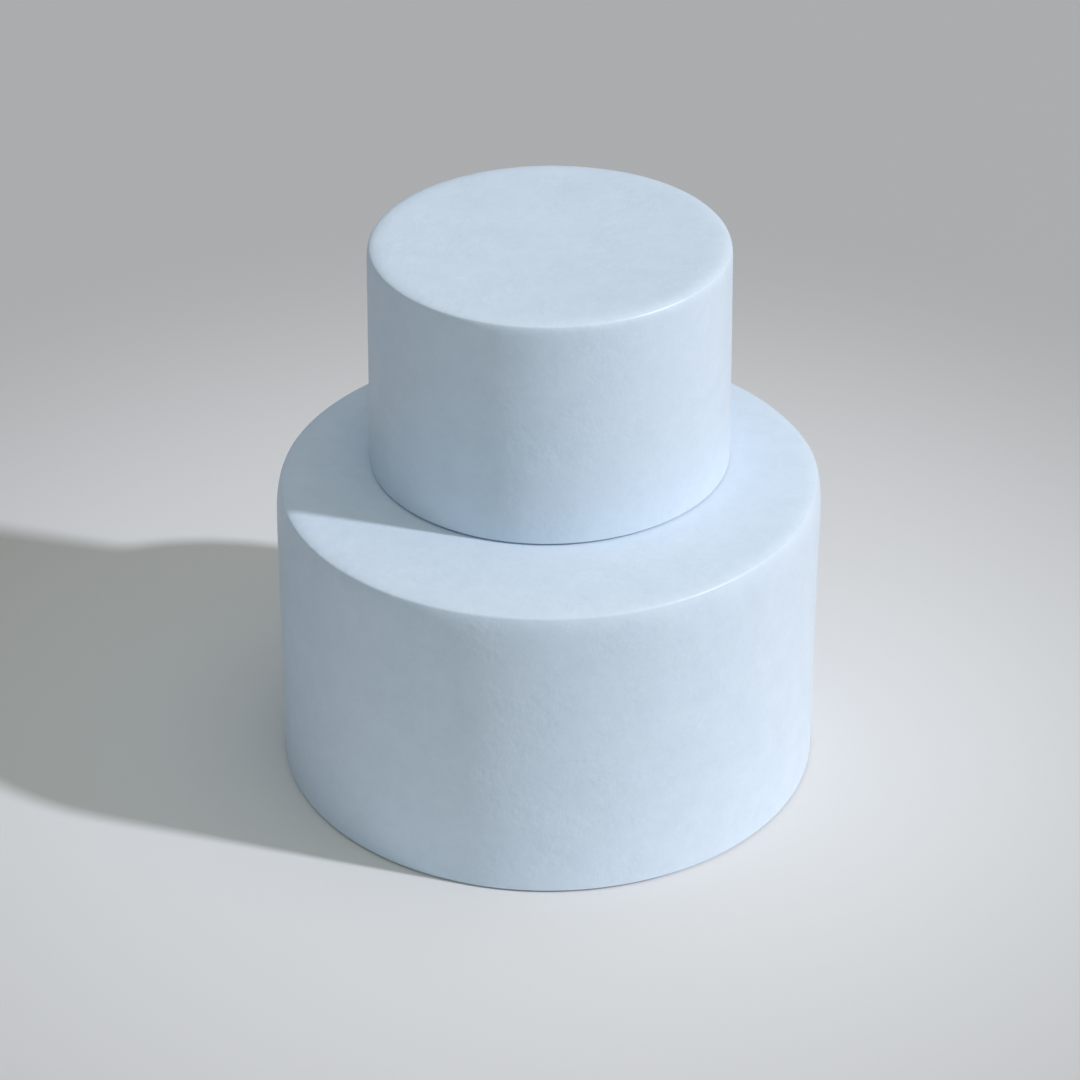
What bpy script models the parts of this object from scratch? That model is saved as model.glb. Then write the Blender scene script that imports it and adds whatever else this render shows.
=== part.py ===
"""Two-tier round cake, uncut and covered in smooth pale-blue sugar paste.

A small round tier stands on a larger one, a little behind its middle. Each tier is
one closed solid, turned round its axis from an outline: a flat top that eases down
into a tight rolled shoulder, a barely tapered side that the shoulder eases into, and
a fine roll at the foot, which leaves the thin shadow line below each tier. The tops
are not quite level: they rise a little to the right, and the top tier follows.

Units are metres and +Z is up. The origin is the middle of the bottom tier's flat
underside, and the cake's front faces -Y.
"""

from collections import namedtuple
from math import cos, log, pi, radians, sin, tan

import bmesh
import bpy

# A rolled shoulder. From the flat top the surface eases down to the slope at the top of
# the bend, turns through the bend, and eases to upright. Each easing is told by its
# slope at the bend, from level or from upright, and by the length over which it fades.
Shoulder = namedtuple("Shoulder", "top_slope top_fade bend side_slope side_fade")

# Driving sizes of the bottom tier.
BOTTOM_FOOT_RADIUS = 0.0777
BOTTOM_TOP_RADIUS = 0.0770
BOTTOM_HEIGHT = 0.0897
BOTTOM_SHOULDER = Shoulder(radians(22.0), 0.0019, 0.00015, radians(24.0), 0.0030)

# Driving sizes of the top tier.
TOP_FOOT_RADIUS = 0.0514
TOP_TOP_RADIUS = 0.0504
TOP_HEIGHT = 0.0669
TOP_SHOULDER = Shoulder(radians(27.0), 0.0017, 0.00048, radians(26.5), 0.0010)

# How much each tier's top rises to the right.
BOTTOM_TOP_SLANT = radians(0.45)
TOP_TOP_SLANT = radians(0.30)

# How far the top tier stands to the right of, and behind, the bottom tier's middle.
TOP_SHIFT_RIGHT = 0.0004
TOP_SHIFT_BACK = 0.0113

# The roll at the foot, and the gap that parts the two tiers.
FOOT_ROLL_RADIUS = 0.0005
TIER_GAP = 0.0003

# A shoulder runs from this slope to this far from upright, and is level or upright beyond.
FIRST_SLOPE = radians(1.0)
LAST_LEAN = radians(0.5)

# Facets round each tier, and along the shoulder's and the foot's curves. Each step of
# the shoulder is measured along its curve in several finer ones.
SIDES = 120
SHOULDER_STEPS = 12
FINER_STEPS = 8
FOOT_ROLL_STEPS = 3

# Edges that turn further than this stay sharp in the shading.
SMOOTH_ANGLE = radians(40)

# The covering's finish.
PASTE_BLUE = (0.61, 0.745, 0.875, 1.0)
PASTE_ROUGHNESS = 0.5


def clear_scene():
    for item in list(bpy.data.objects):
        bpy.data.objects.remove(item, do_unlink=True)


def paste_material(name):
    """Matt sugar paste, the same blue on every tier."""
    material = bpy.data.materials.new(name)
    material.use_nodes = True
    shader = material.node_tree.nodes["Principled BSDF"]
    shader.inputs["Base Color"].default_value = PASTE_BLUE
    shader.inputs["Roughness"].default_value = PASTE_ROUGHNESS
    shader.inputs["Metallic"].default_value = 0.0
    return material


def place_along(shoulder, slope):
    """How far beyond the start of its bend a shoulder has come to a slope."""
    lean = pi / 2 - slope
    if slope < shoulder.top_slope:
        return shoulder.top_fade * log(slope / shoulder.top_slope)
    if lean < shoulder.side_slope:
        return shoulder.bend + shoulder.side_fade * log(shoulder.side_slope / lean)
    turn = pi / 2 - shoulder.top_slope - shoulder.side_slope
    return shoulder.bend * (slope - shoulder.top_slope) / turn


def shoulder_points(shoulder, foot_radius, top_radius, height):
    """The shoulder from the flat top to the side, in even turns of its slope."""
    finer = SHOULDER_STEPS * FINER_STEPS
    turn = (pi / 2 - LAST_LEAN - FIRST_SLOPE) / finer
    across, down = 0.0, 0.0
    steps = [(across, down)]
    for step in range(finer):
        slope = FIRST_SLOPE + turn * step
        length = place_along(shoulder, slope + turn) - place_along(shoulder, slope)
        across += length * cos(slope + turn / 2)
        down += length * sin(slope + turn / 2)
        if (step + 1) % FINER_STEPS == 0:
            steps.append((across, down))
    taper = (foot_radius - top_radius) / height
    inner = top_radius - across
    return [(inner + out + taper * fall, height - fall) for out, fall in steps]


def foot_points(radius):
    """The roll at the foot, from the side to the flat underside."""
    points = []
    for step in range(FOOT_ROLL_STEPS + 1):
        turn = pi / 2 * step / FOOT_ROLL_STEPS
        across = FOOT_ROLL_RADIUS * (1 - cos(turn))
        up = FOOT_ROLL_RADIUS * (1 - sin(turn))
        points.append((radius - across, up))
    return points


def slant_block(block, height, foot_slant, top_slant):
    """Raise the right and lower the left, by the foot's slant below and the top's above."""
    foot_rise, top_rise = tan(foot_slant), tan(top_slant)
    for vert in block.verts:
        rise = foot_rise + (top_rise - foot_rise) * vert.co.z / height
        vert.co.z += rise * vert.co.x


def tier_mesh(name, sizes, slants):
    """A closed round block that stands on z = 0, turned from its outline and slanted."""
    shoulder, foot_radius, top_radius, height = sizes
    block = bmesh.new()
    outline = shoulder_points(shoulder, foot_radius, top_radius, height)
    outline += foot_points(foot_radius)
    verts = [block.verts.new((across, 0.0, up)) for across, up in outline]
    edges = [block.edges.new(pair) for pair in zip(verts, verts[1:])]
    bmesh.ops.spin(
        block,
        geom=verts + edges,
        cent=(0.0, 0.0, 0.0),
        axis=(0.0, 0.0, 1.0),
        angle=2 * pi,
        steps=SIDES,
        use_merge=True,
    )
    bmesh.ops.holes_fill(block, edges=block.edges, sides=0)
    slant_block(block, height, *slants)
    bmesh.ops.recalc_face_normals(block, faces=block.faces)
    mesh = bpy.data.meshes.new(name)
    block.to_mesh(mesh)
    block.free()
    mesh.shade_smooth()
    mesh.set_sharp_from_angle(angle=SMOOTH_ANGLE)
    return mesh


def add_tier(name, parent, sizes, slants, location):
    mesh = tier_mesh(name, sizes, slants)
    mesh.materials.append(paste_material(name + "_paste"))
    tier = bpy.data.objects.new(name, mesh)
    bpy.context.scene.collection.objects.link(tier)
    tier.parent = parent
    tier.location = location


def build_cake():
    clear_scene()
    cake = bpy.data.objects.new("cake", None)
    bpy.context.scene.collection.objects.link(cake)
    add_tier(
        "bottom_tier",
        cake,
        (BOTTOM_SHOULDER, BOTTOM_FOOT_RADIUS, BOTTOM_TOP_RADIUS, BOTTOM_HEIGHT),
        (0.0, BOTTOM_TOP_SLANT),
        (0.0, 0.0, 0.0),
    )
    add_tier(
        "top_tier",
        cake,
        (TOP_SHOULDER, TOP_FOOT_RADIUS, TOP_TOP_RADIUS, TOP_HEIGHT),
        (BOTTOM_TOP_SLANT, TOP_TOP_SLANT),
        (TOP_SHIFT_RIGHT, TOP_SHIFT_BACK, BOTTOM_HEIGHT + TIER_GAP),
    )


build_cake()
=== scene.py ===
"""Looks of a two-tier round cake in smooth pale-blue sugar paste.

Each tier of the frame is replaced by a finely meshed skin of the same form, with the
slight unevenness of paste smoothed by hand: a shoulder that stands proud in places,
long shallow swells on the sides, faint dimples, and a trimmed foot tucked under. Its
material adds the paste's soft mottling, fine grain, small pits and satin shine.

Units are metres, in the frame's own axes: +Z is up and the front faces -Y.
"""

from collections import namedtuple
from math import cos, pi, radians, sin, tan

import bpy
import numpy as np
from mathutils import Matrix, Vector, noise


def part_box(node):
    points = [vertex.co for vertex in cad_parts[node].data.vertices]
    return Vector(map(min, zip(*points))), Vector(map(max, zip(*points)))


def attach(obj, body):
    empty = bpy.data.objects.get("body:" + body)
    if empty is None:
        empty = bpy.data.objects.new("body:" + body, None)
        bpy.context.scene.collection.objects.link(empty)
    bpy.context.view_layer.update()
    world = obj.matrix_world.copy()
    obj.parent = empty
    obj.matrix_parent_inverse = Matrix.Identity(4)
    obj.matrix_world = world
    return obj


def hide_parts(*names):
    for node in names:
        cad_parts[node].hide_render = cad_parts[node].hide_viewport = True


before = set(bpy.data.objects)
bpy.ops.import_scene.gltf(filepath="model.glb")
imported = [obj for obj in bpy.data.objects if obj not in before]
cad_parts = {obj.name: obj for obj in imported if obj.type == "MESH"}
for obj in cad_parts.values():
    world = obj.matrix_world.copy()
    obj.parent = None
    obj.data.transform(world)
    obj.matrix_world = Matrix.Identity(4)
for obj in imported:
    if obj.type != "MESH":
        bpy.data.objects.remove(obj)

# A rolled shoulder, as in the solids. From the flat top the surface eases down to the
# slope at the top of the bend, turns through the bend, and eases to upright. Each easing
# is told by its slope at the bend, from level or from upright, and by the length over
# which it fades.
Shoulder = namedtuple("Shoulder", "top_slope top_fade bend side_slope side_fade")

# A shoulder runs from this slope to this far from upright, and is level or upright beyond.
FIRST_SLOPE = radians(1.0)
LAST_LEAN = radians(0.5)

# The paste is tucked under at the foot, by a depth inwards over a height, which leaves a
# thin dark crevice below a finely rolled lip. A ring just above the lip keeps the side's
# shading even.
Tuck = namedtuple("Tuck", "depth height")
LIP_ROLL = 0.00012
RING_ABOVE_LIP = 2 * LIP_ROLL

# Where the paste stands a little proud: azimuth from the right, level, reach, and how far
# it is moved outwards and upwards.
Proud = namedtuple("Proud", "azimuth level reach out up")

# A tier: its node, material slot and seed, and its sizes as in the solids, with the level
# that it stands at, how much its foot and its top rise to the right, how polished its bend
# is by the hand that rolled it, its tucked foot and its proud spots. The bends are a little
# softer or tighter than in the solids.
Tier = namedtuple(
    "Tier",
    "node slot seed shoulder foot_radius top_radius height level foot_slant top_slant polish"
    " tuck proud",
)
TIERS = (
    Tier(
        node="bottom_tier",
        slot="bottom_paste",
        seed=11,
        shoulder=Shoulder(radians(22.0), 0.0019, 0.00070, radians(24.0), 0.0030),
        foot_radius=0.0777,
        top_radius=0.0770,
        height=0.0897,
        level=0.0,
        foot_slant=0.0,
        top_slant=radians(0.45),
        polish=0.28,
        tuck=Tuck(0.0030, 0.0006),
        proud=(
            Proud(radians(-45), 0.0897, 0.022, 0.0, 0.0005),
            Proud(radians(8), 0.0885, 0.012, 0.0006, 0.0003),
        ),
    ),
    Tier(
        node="top_tier",
        slot="top_paste",
        seed=12,
        shoulder=Shoulder(radians(27.0), 0.0017, 0.00045, radians(26.5), 0.0010),
        foot_radius=0.0514,
        top_radius=0.0504,
        height=0.0669,
        level=0.0900,
        foot_slant=radians(0.45),
        top_slant=radians(0.30),
        polish=0.55,
        tuck=Tuck(0.0014, 0.0003),
        proud=(Proud(radians(-50), 0.0669, 0.016, 0.0, 0.0004),),
    ),
)

# Mesh density: spacing round the tier, down its side and shoulder and across its top,
# the most that the shoulder turns from one ring to the next, and the steps in which the
# shoulder is worked out, the lip turns and the underside is crossed.
ROUND_SPACING = 0.00075
SIDE_SPACING = 0.0012
TOP_SPACING = 0.0025
SHOULDER_TURN = radians(4.0)
FINE_STEPS = 2000
LIP_STEPS = 6
UNDERSIDE_STEPS = 4

# Unevenness of the paste, as heights above the ideal surface and the sizes of its
# features. The swells run round the tier in these numbers. On their way up they swing
# sideways by up to the twist, and the wander is how far through a swing they come, both
# in radians. The noise starts at a spot drawn within its reach, in its own cells. The
# trimmed foot's unevenness fades upwards.
SWELL_HEIGHT = 0.00010
SWELL_WAVES = (2, 3, 5, 8)
SWELL_TWIST = 2.2
SWELL_WANDER = 3
NOISE_REACH = 9
DIMPLE_HEIGHT = 0.00003
DIMPLE_SIZE = 0.016
PEEL_HEIGHT = 0.000012
PEEL_SIZE = 0.0035
TRIM_HEIGHT = 0.00012
TRIM_SIZE = 0.007
TRIM_REACH = 0.0020

# Colours of the paste where it is deepest and palest, as linear light, and the layered
# noise that mixes them.
PASTE_DEEP = (0.640, 0.720, 0.826, 1.0)
PASTE_PALE = (0.800, 0.885, 0.979, 1.0)
MOTTLE_SIZE = 0.010
MOTTLE_OCTAVES = 6.0
MOTTLE_FALLOFF = 0.85

# Satin finish: its roughness where it shines most and least, and the noise between them.
SHINE_MOST = 0.36
SHINE_LEAST = 0.52
SHINE_SIZE = 0.009
SHINE_OCTAVES = 3.0
SHINE_FALLOFF = 0.6
PASTE_IOR = 1.45

# The little light that passes through the paste.
GLOW_SHARE = 0.06
GLOW_DEPTH = 0.0008
GLOW_COLOURS = (1.0, 0.85, 0.75)

# The polish of the bends, which fades out above and below them.
POLISH_MARGIN = radians(8.0)
POLISH_ROUGHNESS = 0.40
POLISH_IOR = 1.8

# Fine relief, with its heights in millimetres: hand-smoothed grain. It stands at full
# height in soft patches and at its least share between them, and goes from one to the
# other where the patches' own noise is in this range.
MILLIMETRE = 0.001
GRAIN_SIZE = 0.0030
GRAIN_HEIGHT = 0.200
GRAIN_OCTAVES = 4.0
GRAIN_FALLOFF = 0.62
NOISE_MIDDLE = 0.5
GRAIN_LEAST = 0.35
GRAIN_PATCH = 0.014
GRAIN_PATCH_OCTAVES = 2.0
GRAIN_PATCH_FALLOFF = 0.5
GRAIN_PATCH_RANGE = (0.40, 0.60)

# Small pits of burst air bubbles, one in a share of the cells. Their depth is in
# millimetres, and their radius in cells.
PIT_SPACING = 0.0070
PIT_SHARE = 0.30
PIT_RADIUS = 0.045
PIT_DEPTH = 0.006

# The floor: plain and pale near the cake, and darker away from it.
FLOOR_NEAR = (0.790, 0.770, 0.767, 1.0)
FLOOR_FAR = (0.500, 0.482, 0.478, 1.0)
FLOOR_NEAR_RADIUS = 0.09
FLOOR_FAR_RADIUS = 0.35
FLOOR_HALF_WIDTH = 15.0
FLOOR_ROUGHNESS = 0.9
FLOOR_SPECULAR = 0.1

# The photograph's view: a long lens from in front and above. Angles are in degrees, and
# the lens and sensor in millimetres.
CAMERA_PLACE = (0.0, -0.7991, 0.5590)
CAMERA_DOWN = 31.624
CAMERA_LEFT = 0.166
CAMERA_LENS = 109.15
CAMERA_SENSOR = 36.0
CAMERA_REACH = 100.0

# Light: a distant soft lamp at the right, a little in front. Angles are in degrees.
KEY_HEIGHT = 37.0
KEY_FRONT = 16.0
KEY_SPREAD = 2.8
KEY_STRENGTH = 2.12
KEY_COLOUR = (0.955, 0.99, 1.10)

# Soft light all round: a little from everywhere, more from each way by its slant, and
# most from overhead, where it falls off by a power.
AMBIENT_EVEN = (0.01, 0.01, 0.01)
AMBIENT_RIGHT = (0.24, 0.19, 0.045)
AMBIENT_FRONT = (0.24, 0.365, 0.445)
AMBIENT_BACK = (0.12, 0.21, 0.35)
AMBIENT_ABOVE = (0.02, 0.02, 0.02)
AMBIENT_OVERHEAD = (0.82, 0.81, 0.70)
OVERHEAD_POWER = 4.0


def top_line(rim, height):
    """The flat top, from near its middle to the shoulder.

    Every point of a line is its place across and up, and its normal outwards and upwards.
    """
    steps = round(rim / TOP_SPACING)
    share = np.arange(1, steps) / steps
    return np.stack([rim * share, 0 * share + height, 0 * share, 0 * share + 1], axis=1)


def shoulder_line(shoulder, foot_radius, top_radius, height):
    """The shoulder from the top to the side, with its rings closest where it turns most."""
    slope = np.linspace(FIRST_SLOPE, pi / 2 - LAST_LEAN, FINE_STEPS + 1)
    lean = pi / 2 - slope
    turn = pi / 2 - shoulder.top_slope - shoulder.side_slope
    on_top = shoulder.top_fade * np.log(slope / shoulder.top_slope)
    on_side = shoulder.bend + shoulder.side_fade * np.log(shoulder.side_slope / lean)
    in_bend = shoulder.bend * (slope - shoulder.top_slope) / turn
    on_parts = [slope < shoulder.top_slope, lean < shoulder.side_slope]
    along = np.select(on_parts, [on_top, on_side], in_bend)
    length, between = np.diff(along), (slope[1:] + slope[:-1]) / 2
    across = np.append(0.0, np.cumsum(length * np.cos(between)))
    down = np.append(0.0, np.cumsum(length * np.sin(between)))
    progress = (slope - slope[0]) / SHOULDER_TURN + (along - along[0]) / SIDE_SPACING
    rings = np.linspace(0, progress[-1], round(progress[-1]) + 1)
    slope, across, down = (np.interp(rings, progress, run) for run in (slope, across, down))
    across += top_radius - across[-1] + (foot_radius - top_radius) / height * down
    return np.stack([across, height - down, np.sin(slope), np.cos(slope)], axis=1)


def side_line(foot_radius, foot_level, radius, level):
    """The side between the shoulder's end and the foot's lip, without its two ends."""
    steps = round((level - foot_level) / SIDE_SPACING)
    share = np.arange(1, steps) / steps
    across = radius + (foot_radius - radius) * share
    level = level + (foot_level - level) * share
    return np.stack([across, level, 0 * share + 1, 0 * share], axis=1)


def foot_line(radius, tuck):
    """A ring above the foot's lip, the lip, the paste tucked under it and the underside."""
    turn = np.linspace(0, pi / 2, LIP_STEPS + 1)
    out, down = np.cos(turn), np.sin(turn)
    above = [(radius, tuck.height + RING_ABOVE_LIP, 1.0, 0.0)]
    level = tuck.height + LIP_ROLL * (1 - down)
    lip = np.stack([radius - LIP_ROLL * (1 - out), level, out, -down], axis=1)
    share = 1 - np.arange(UNDERSIDE_STEPS) / UNDERSIDE_STEPS
    inner = (radius - tuck.depth) * share
    flat = np.stack([inner, 0 * share, 0 * share, 0 * share - 1], axis=1)
    return np.concatenate([above, lip, flat])


def noise_field(spots, size, shift):
    """Smooth random values between about -1 and 1, for features of one size."""
    return np.array([noise.noise(Vector(spot) / size + shift) for spot in spots])


def paste_lift(angle, line, spots, seed):
    """How far the hand-smoothed surface stands off the ideal one, ring by ring."""
    rng = np.random.default_rng(seed)
    shift = Vector(rng.uniform(-NOISE_REACH, NOISE_REACH, 3))
    phases = rng.uniform(0, 2 * pi, (len(SWELL_WAVES), 2))
    across, level = line[:, 0:1], line[:, 1:2]
    rise = level / level.max()
    edge = across / across.max()
    swell = np.zeros((len(line), len(angle)))
    for wave, (phase, lean) in zip(SWELL_WAVES, phases):
        wander = SWELL_TWIST * np.sin(lean + SWELL_WANDER * rise)
        swell += np.cos(wave * angle + phase + wander)
    lift = swell * edge**2 * SWELL_HEIGHT / len(SWELL_WAVES)
    shape = lift.shape
    lift += DIMPLE_HEIGHT * noise_field(spots, DIMPLE_SIZE, shift).reshape(shape)
    lift += PEEL_HEIGHT * noise_field(spots, PEEL_SIZE, shift).reshape(shape)
    near_foot = np.exp(-level / TRIM_REACH) * line[:, 2:3]
    lift += near_foot * TRIM_HEIGHT * noise_field(spots, TRIM_SIZE, shift).reshape(shape)
    return np.where(line[:, 3:4] < 0, 0.0, lift)


def push_proud(place, spots):
    """Move the surface outwards and upwards round each spot, fading away from it."""
    across = np.hypot(place[:, :, 0], place[:, :, 1])
    outwards = place[:, :, :2] / across[:, :, None]
    radius = across.max()
    for spot in spots:
        centre = np.array((radius * cos(spot.azimuth), radius * sin(spot.azimuth), spot.level))
        away = np.linalg.norm(place - centre, axis=2) / spot.reach
        share = np.exp(-(away**2) / 2)
        place[:, :, :2] += outwards * (spot.out * share)[:, :, None]
        place[:, :, 2] += spot.up * share


def bend_polish(line, shoulder):
    """How polished each ring is: all through the bend, fading out above and below it."""
    slope = np.arctan2(line[:, 2], line[:, 3])
    first, last = shoulder.top_slope, pi / 2 - shoulder.side_slope
    corners = [first - POLISH_MARGIN, first, last, last + POLISH_MARGIN]
    return np.interp(slope, corners, [0.0, 1.0, 1.0, 0.0])


def ring_faces(rings, segments):
    """Quads between neighbouring rings, and the fans that close the top and underside."""
    start = np.arange(segments)
    after = (start + 1) % segments
    steps = list(zip(start.tolist(), after.tolist()))
    faces = []
    for ring in range(rings - 1):
        upper, lower = ring * segments, (ring + 1) * segments
        quads = np.stack([upper + start, lower + start, lower + after, upper + after], axis=1)
        faces += quads.tolist()
    top, under = rings * segments, rings * segments + 1
    last = (rings - 1) * segments
    faces += [(top, here, there) for here, there in steps]
    faces += [(under, last + there, last + here) for here, there in steps]
    return faces


def make_skin(tier):
    """A finely meshed tier in the place of its node."""
    low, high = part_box(tier.node)
    middle = (low + high) / 2
    edge = shoulder_line(tier.shoulder, tier.foot_radius, tier.top_radius, tier.height)
    flat = top_line(edge[0, 0], tier.height)
    foot = foot_line(tier.foot_radius, tier.tuck)
    side = side_line(tier.foot_radius, foot[0, 1], edge[-1, 0], edge[-1, 1])
    line = np.concatenate([flat, edge, side, foot])
    segments = round(2 * pi * tier.foot_radius / ROUND_SPACING)
    angle = np.arange(segments) * (2 * pi / segments)
    east, north = np.cos(angle), np.sin(angle)
    across, level, out, up = (line[:, k : k + 1] for k in range(4))
    ideal = np.stack([across * east, across * north, level + 0 * east], axis=2)
    normal = np.stack([out * east, out * north, up + 0 * east], axis=2)
    lift = paste_lift(angle, line, ideal.reshape(-1, 3), tier.seed)
    place = ideal + normal * lift[:, :, None]
    push_proud(place, tier.proud)
    foot_rise, top_rise = tan(tier.foot_slant), tan(tier.top_slant)
    rise = foot_rise + (top_rise - foot_rise) * place[:, :, 2] / tier.height
    place[:, :, 2] += rise * place[:, :, 0]
    ends = [(0.0, 0.0, place[0, :, 2].mean()), (0.0, 0.0, 0.0)]
    spots = np.concatenate([place.reshape(-1, 3), ends]) + (middle.x, middle.y, tier.level)
    mesh = bpy.data.meshes.new(tier.node + "_paste")
    mesh.from_pydata(spots.tolist(), [], ring_faces(len(line), segments))
    mesh.shade_smooth()
    polish = tier.polish * np.repeat(bend_polish(line, tier.shoulder), segments)
    polish = np.append(polish, [0.0, 0.0])
    mesh.attributes.new("polish", "FLOAT", "POINT").data.foreach_set("value", polish)
    skin = bpy.data.objects.new(tier.node + "_paste", mesh)
    bpy.context.scene.collection.objects.link(skin)
    return skin


def feed(tree, socket, value):
    """Store a plain value in a socket, or link another node's output to it."""
    if isinstance(value, bpy.types.NodeSocket):
        tree.links.new(value, socket)
    else:
        socket.default_value = value


def add_node(tree, kind, values, **settings):
    """A node with its settings, and its inputs fed by name or by number."""
    node = tree.nodes.new(kind)
    for setting, value in settings.items():
        setattr(node, setting, value)
    for key, value in values.items():
        feed(tree, node.inputs[key], value)
    return node


def maths(tree, operation, *values):
    node = add_node(tree, "ShaderNodeMath", dict(enumerate(values)), operation=operation)
    return node.outputs["Value"]


def vector_maths(tree, operation, *values):
    node = add_node(tree, "ShaderNodeVectorMath", dict(enumerate(values)), operation=operation)
    return node.outputs["Vector"]


def cloud(tree, place, size, octaves, falloff):
    """Layered noise between 0 and 1, with its largest features of one size."""
    values = {"Vector": place, "Scale": 1 / size, "Detail": octaves, "Roughness": falloff}
    return add_node(tree, "ShaderNodeTexNoise", values).outputs["Fac"]


def blend(tree, share, first, second):
    """A value between two ends, by a share between 0 and 1."""
    values = {"Value": share, "To Min": first, "To Max": second}
    return add_node(tree, "ShaderNodeMapRange", values).outputs["Result"]


def mix_colours(tree, share, first, second):
    """A colour between two ends, by a share between 0 and 1."""
    mixer = add_node(tree, "ShaderNodeMix", {}, data_type="RGBA")
    for socket, value in (("Factor", share), ("A", first), ("B", second)):
        feed(tree, mixer.inputs[socket], value)
    return mixer.outputs["Result"]


def pit_relief(tree, place):
    """How deep each small round pit goes, in millimetres, one in some of the cells."""
    values = {"Vector": place, "Scale": 1 / PIT_SPACING}
    cells = add_node(tree, "ShaderNodeTexVoronoi", values)
    chance = add_node(tree, "ShaderNodeSeparateColor", {"Color": cells.outputs["Color"]})
    here = maths(tree, "LESS_THAN", chance.outputs["Red"], PIT_SHARE)
    values = {
        "Value": cells.outputs["Distance"],
        "From Min": 0.0,
        "From Max": PIT_RADIUS,
        "To Min": PIT_DEPTH,
        "To Max": 0.0,
    }
    bowl = add_node(tree, "ShaderNodeMapRange", values, interpolation_type="SMOOTHSTEP")
    depth = maths(tree, "MULTIPLY", bowl.outputs["Result"], chance.outputs["Green"])
    return maths(tree, "MULTIPLY", depth, here)


def grain_strength(tree, place):
    """How high the grain stands, in millimetres: in soft patches, and less between them."""
    values = {
        "Value": cloud(tree, place, GRAIN_PATCH, GRAIN_PATCH_OCTAVES, GRAIN_PATCH_FALLOFF),
        "From Min": GRAIN_PATCH_RANGE[0],
        "From Max": GRAIN_PATCH_RANGE[1],
        "To Min": GRAIN_HEIGHT * GRAIN_LEAST,
        "To Max": GRAIN_HEIGHT,
    }
    patches = add_node(tree, "ShaderNodeMapRange", values, interpolation_type="SMOOTHSTEP")
    return patches.outputs["Result"]


def paste_material(name, seed):
    """Sugar paste: softly mottled, faintly grained, satin, with a few pits."""
    material = bpy.data.materials.new(name)
    material.use_nodes = True
    tree = material.node_tree
    shader = tree.nodes["Principled BSDF"]
    spot = add_node(tree, "ShaderNodeTexCoord", {}).outputs["Object"]
    place = vector_maths(tree, "ADD", spot, (seed, 0.0, 0.0))
    mottle = cloud(tree, place, MOTTLE_SIZE, MOTTLE_OCTAVES, MOTTLE_FALLOFF)
    colour = mix_colours(tree, mottle, PASTE_DEEP, PASTE_PALE)
    patches = cloud(tree, place, SHINE_SIZE, SHINE_OCTAVES, SHINE_FALLOFF)
    shine = blend(tree, patches, SHINE_MOST, SHINE_LEAST)
    grain = cloud(tree, place, GRAIN_SIZE, GRAIN_OCTAVES, GRAIN_FALLOFF)
    grain = maths(tree, "SUBTRACT", grain, NOISE_MIDDLE)
    grain = maths(tree, "MULTIPLY", grain, grain_strength(tree, place))
    relief = maths(tree, "SUBTRACT", grain, pit_relief(tree, place))
    bump = add_node(tree, "ShaderNodeBump", {"Distance": MILLIMETRE, "Height": relief})
    feed(tree, shader.inputs["Base Color"], colour)
    feed(tree, shader.inputs["Roughness"], shine)
    feed(tree, shader.inputs["Normal"], bump.outputs["Normal"])
    shader.inputs["Metallic"].default_value = 0.0
    shader.inputs["IOR"].default_value = PASTE_IOR
    shader.inputs["Subsurface Weight"].default_value = GLOW_SHARE
    shader.inputs["Subsurface Scale"].default_value = GLOW_DEPTH
    shader.inputs["Subsurface Radius"].default_value = GLOW_COLOURS
    polish = add_node(tree, "ShaderNodeAttribute", {}, attribute_name="polish").outputs["Fac"]
    feed(tree, shader.inputs["Coat Weight"], polish)
    shader.inputs["Coat Roughness"].default_value = POLISH_ROUGHNESS
    shader.inputs["Coat IOR"].default_value = POLISH_IOR
    return material


def floor_material():
    """Matt and pale grey near the cake, and darker away from it."""
    material = bpy.data.materials.new("floor_grey")
    material.use_nodes = True
    tree = material.node_tree
    shader = tree.nodes["Principled BSDF"]
    spot = add_node(tree, "ShaderNodeTexCoord", {}).outputs["Object"]
    length = add_node(tree, "ShaderNodeVectorMath", {0: spot}, operation="LENGTH")
    values = {
        "Value": length.outputs["Value"],
        "From Min": FLOOR_NEAR_RADIUS,
        "From Max": FLOOR_FAR_RADIUS,
    }
    far = add_node(tree, "ShaderNodeMapRange", values, interpolation_type="SMOOTHSTEP")
    colour = mix_colours(tree, far.outputs["Result"], FLOOR_NEAR, FLOOR_FAR)
    feed(tree, shader.inputs["Base Color"], colour)
    shader.inputs["Roughness"].default_value = FLOOR_ROUGHNESS
    shader.inputs["Specular IOR Level"].default_value = FLOOR_SPECULAR
    return material


def add_floor():
    half = FLOOR_HALF_WIDTH
    mesh = bpy.data.meshes.new("floor")
    mesh.from_pydata(
        [(-half, -half, 0), (half, -half, 0), (half, half, 0), (-half, half, 0)],
        [],
        [(0, 1, 2, 3)],
    )
    mesh.materials.append(floor_material())
    floor = bpy.data.objects.new("floor", mesh)
    bpy.context.scene.collection.objects.link(floor)


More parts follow.
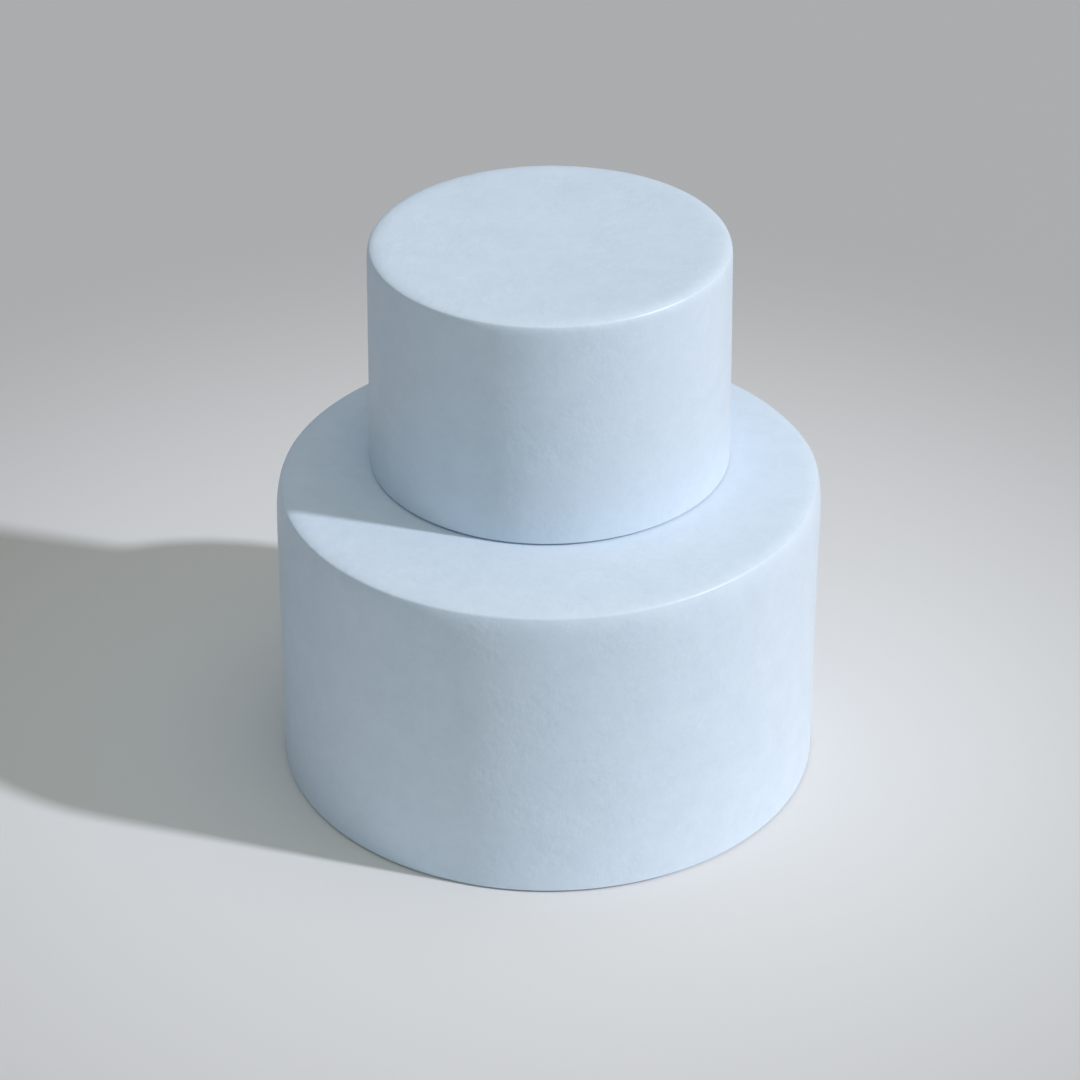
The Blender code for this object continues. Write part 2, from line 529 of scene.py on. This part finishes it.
def add_key():
    lamp = bpy.data.lights.new("key", "SUN")
    lamp.energy = KEY_STRENGTH
    lamp.color = KEY_COLOUR
    lamp.angle = radians(KEY_SPREAD)
    key = bpy.data.objects.new("key", lamp)
    bpy.context.scene.collection.objects.link(key)
    up, front = radians(KEY_HEIGHT), radians(KEY_FRONT)
    towards = Vector((cos(up) * cos(front), -cos(up) * sin(front), sin(up)))
    key.rotation_euler = towards.to_track_quat("Z", "Y").to_euler()


def add_ambient():
    """Soft light all round, brighter overhead and from some sides than from others."""
    world = bpy.data.worlds.new("ambient")
    world.use_nodes = True
    tree = world.node_tree
    way = add_node(tree, "ShaderNodeTexCoord", {}).outputs["Generated"]
    towards = vector_maths(tree, "MAXIMUM", way, (0.0, 0.0, 0.0))
    against = vector_maths(tree, "MINIMUM", way, (0.0, 0.0, 0.0))
    plus = add_node(tree, "ShaderNodeSeparateXYZ", {0: towards}).outputs
    minus = add_node(tree, "ShaderNodeSeparateXYZ", {0: against}).outputs
    light = AMBIENT_EVEN
    for share, colour in (
        (plus["X"], AMBIENT_RIGHT),
        (plus["Y"], AMBIENT_BACK),
        (plus["Z"], AMBIENT_ABOVE),
        (maths(tree, "POWER", plus["Z"], OVERHEAD_POWER), AMBIENT_OVERHEAD),
        (maths(tree, "MULTIPLY", minus["Y"], -1.0), AMBIENT_FRONT),
    ):
        light = vector_maths(tree, "MULTIPLY_ADD", colour, share, light)
    feed(tree, tree.nodes["Background"].inputs["Color"], light)
    bpy.context.scene.world = world


def add_camera():
    data = bpy.data.cameras.new("camera")
    data.lens = CAMERA_LENS
    data.sensor_width = CAMERA_SENSOR
    data.clip_end = CAMERA_REACH
    camera = bpy.data.objects.new("camera", data)
    bpy.context.scene.collection.objects.link(camera)
    camera.location = CAMERA_PLACE
    camera.rotation_euler = (radians(90 - CAMERA_DOWN), 0.0, radians(CAMERA_LEFT))
    bpy.context.scene.camera = camera


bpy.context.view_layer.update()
bpy.context.scene.view_settings.view_transform = "Standard"
for tier in TIERS:
    skin = make_skin(tier)
    skin.data.materials.append(paste_material(tier.node + "_paste", tier.seed))
    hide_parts(tier.node)
    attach(skin, "root")
add_floor()
add_key()
add_ambient()
add_camera()
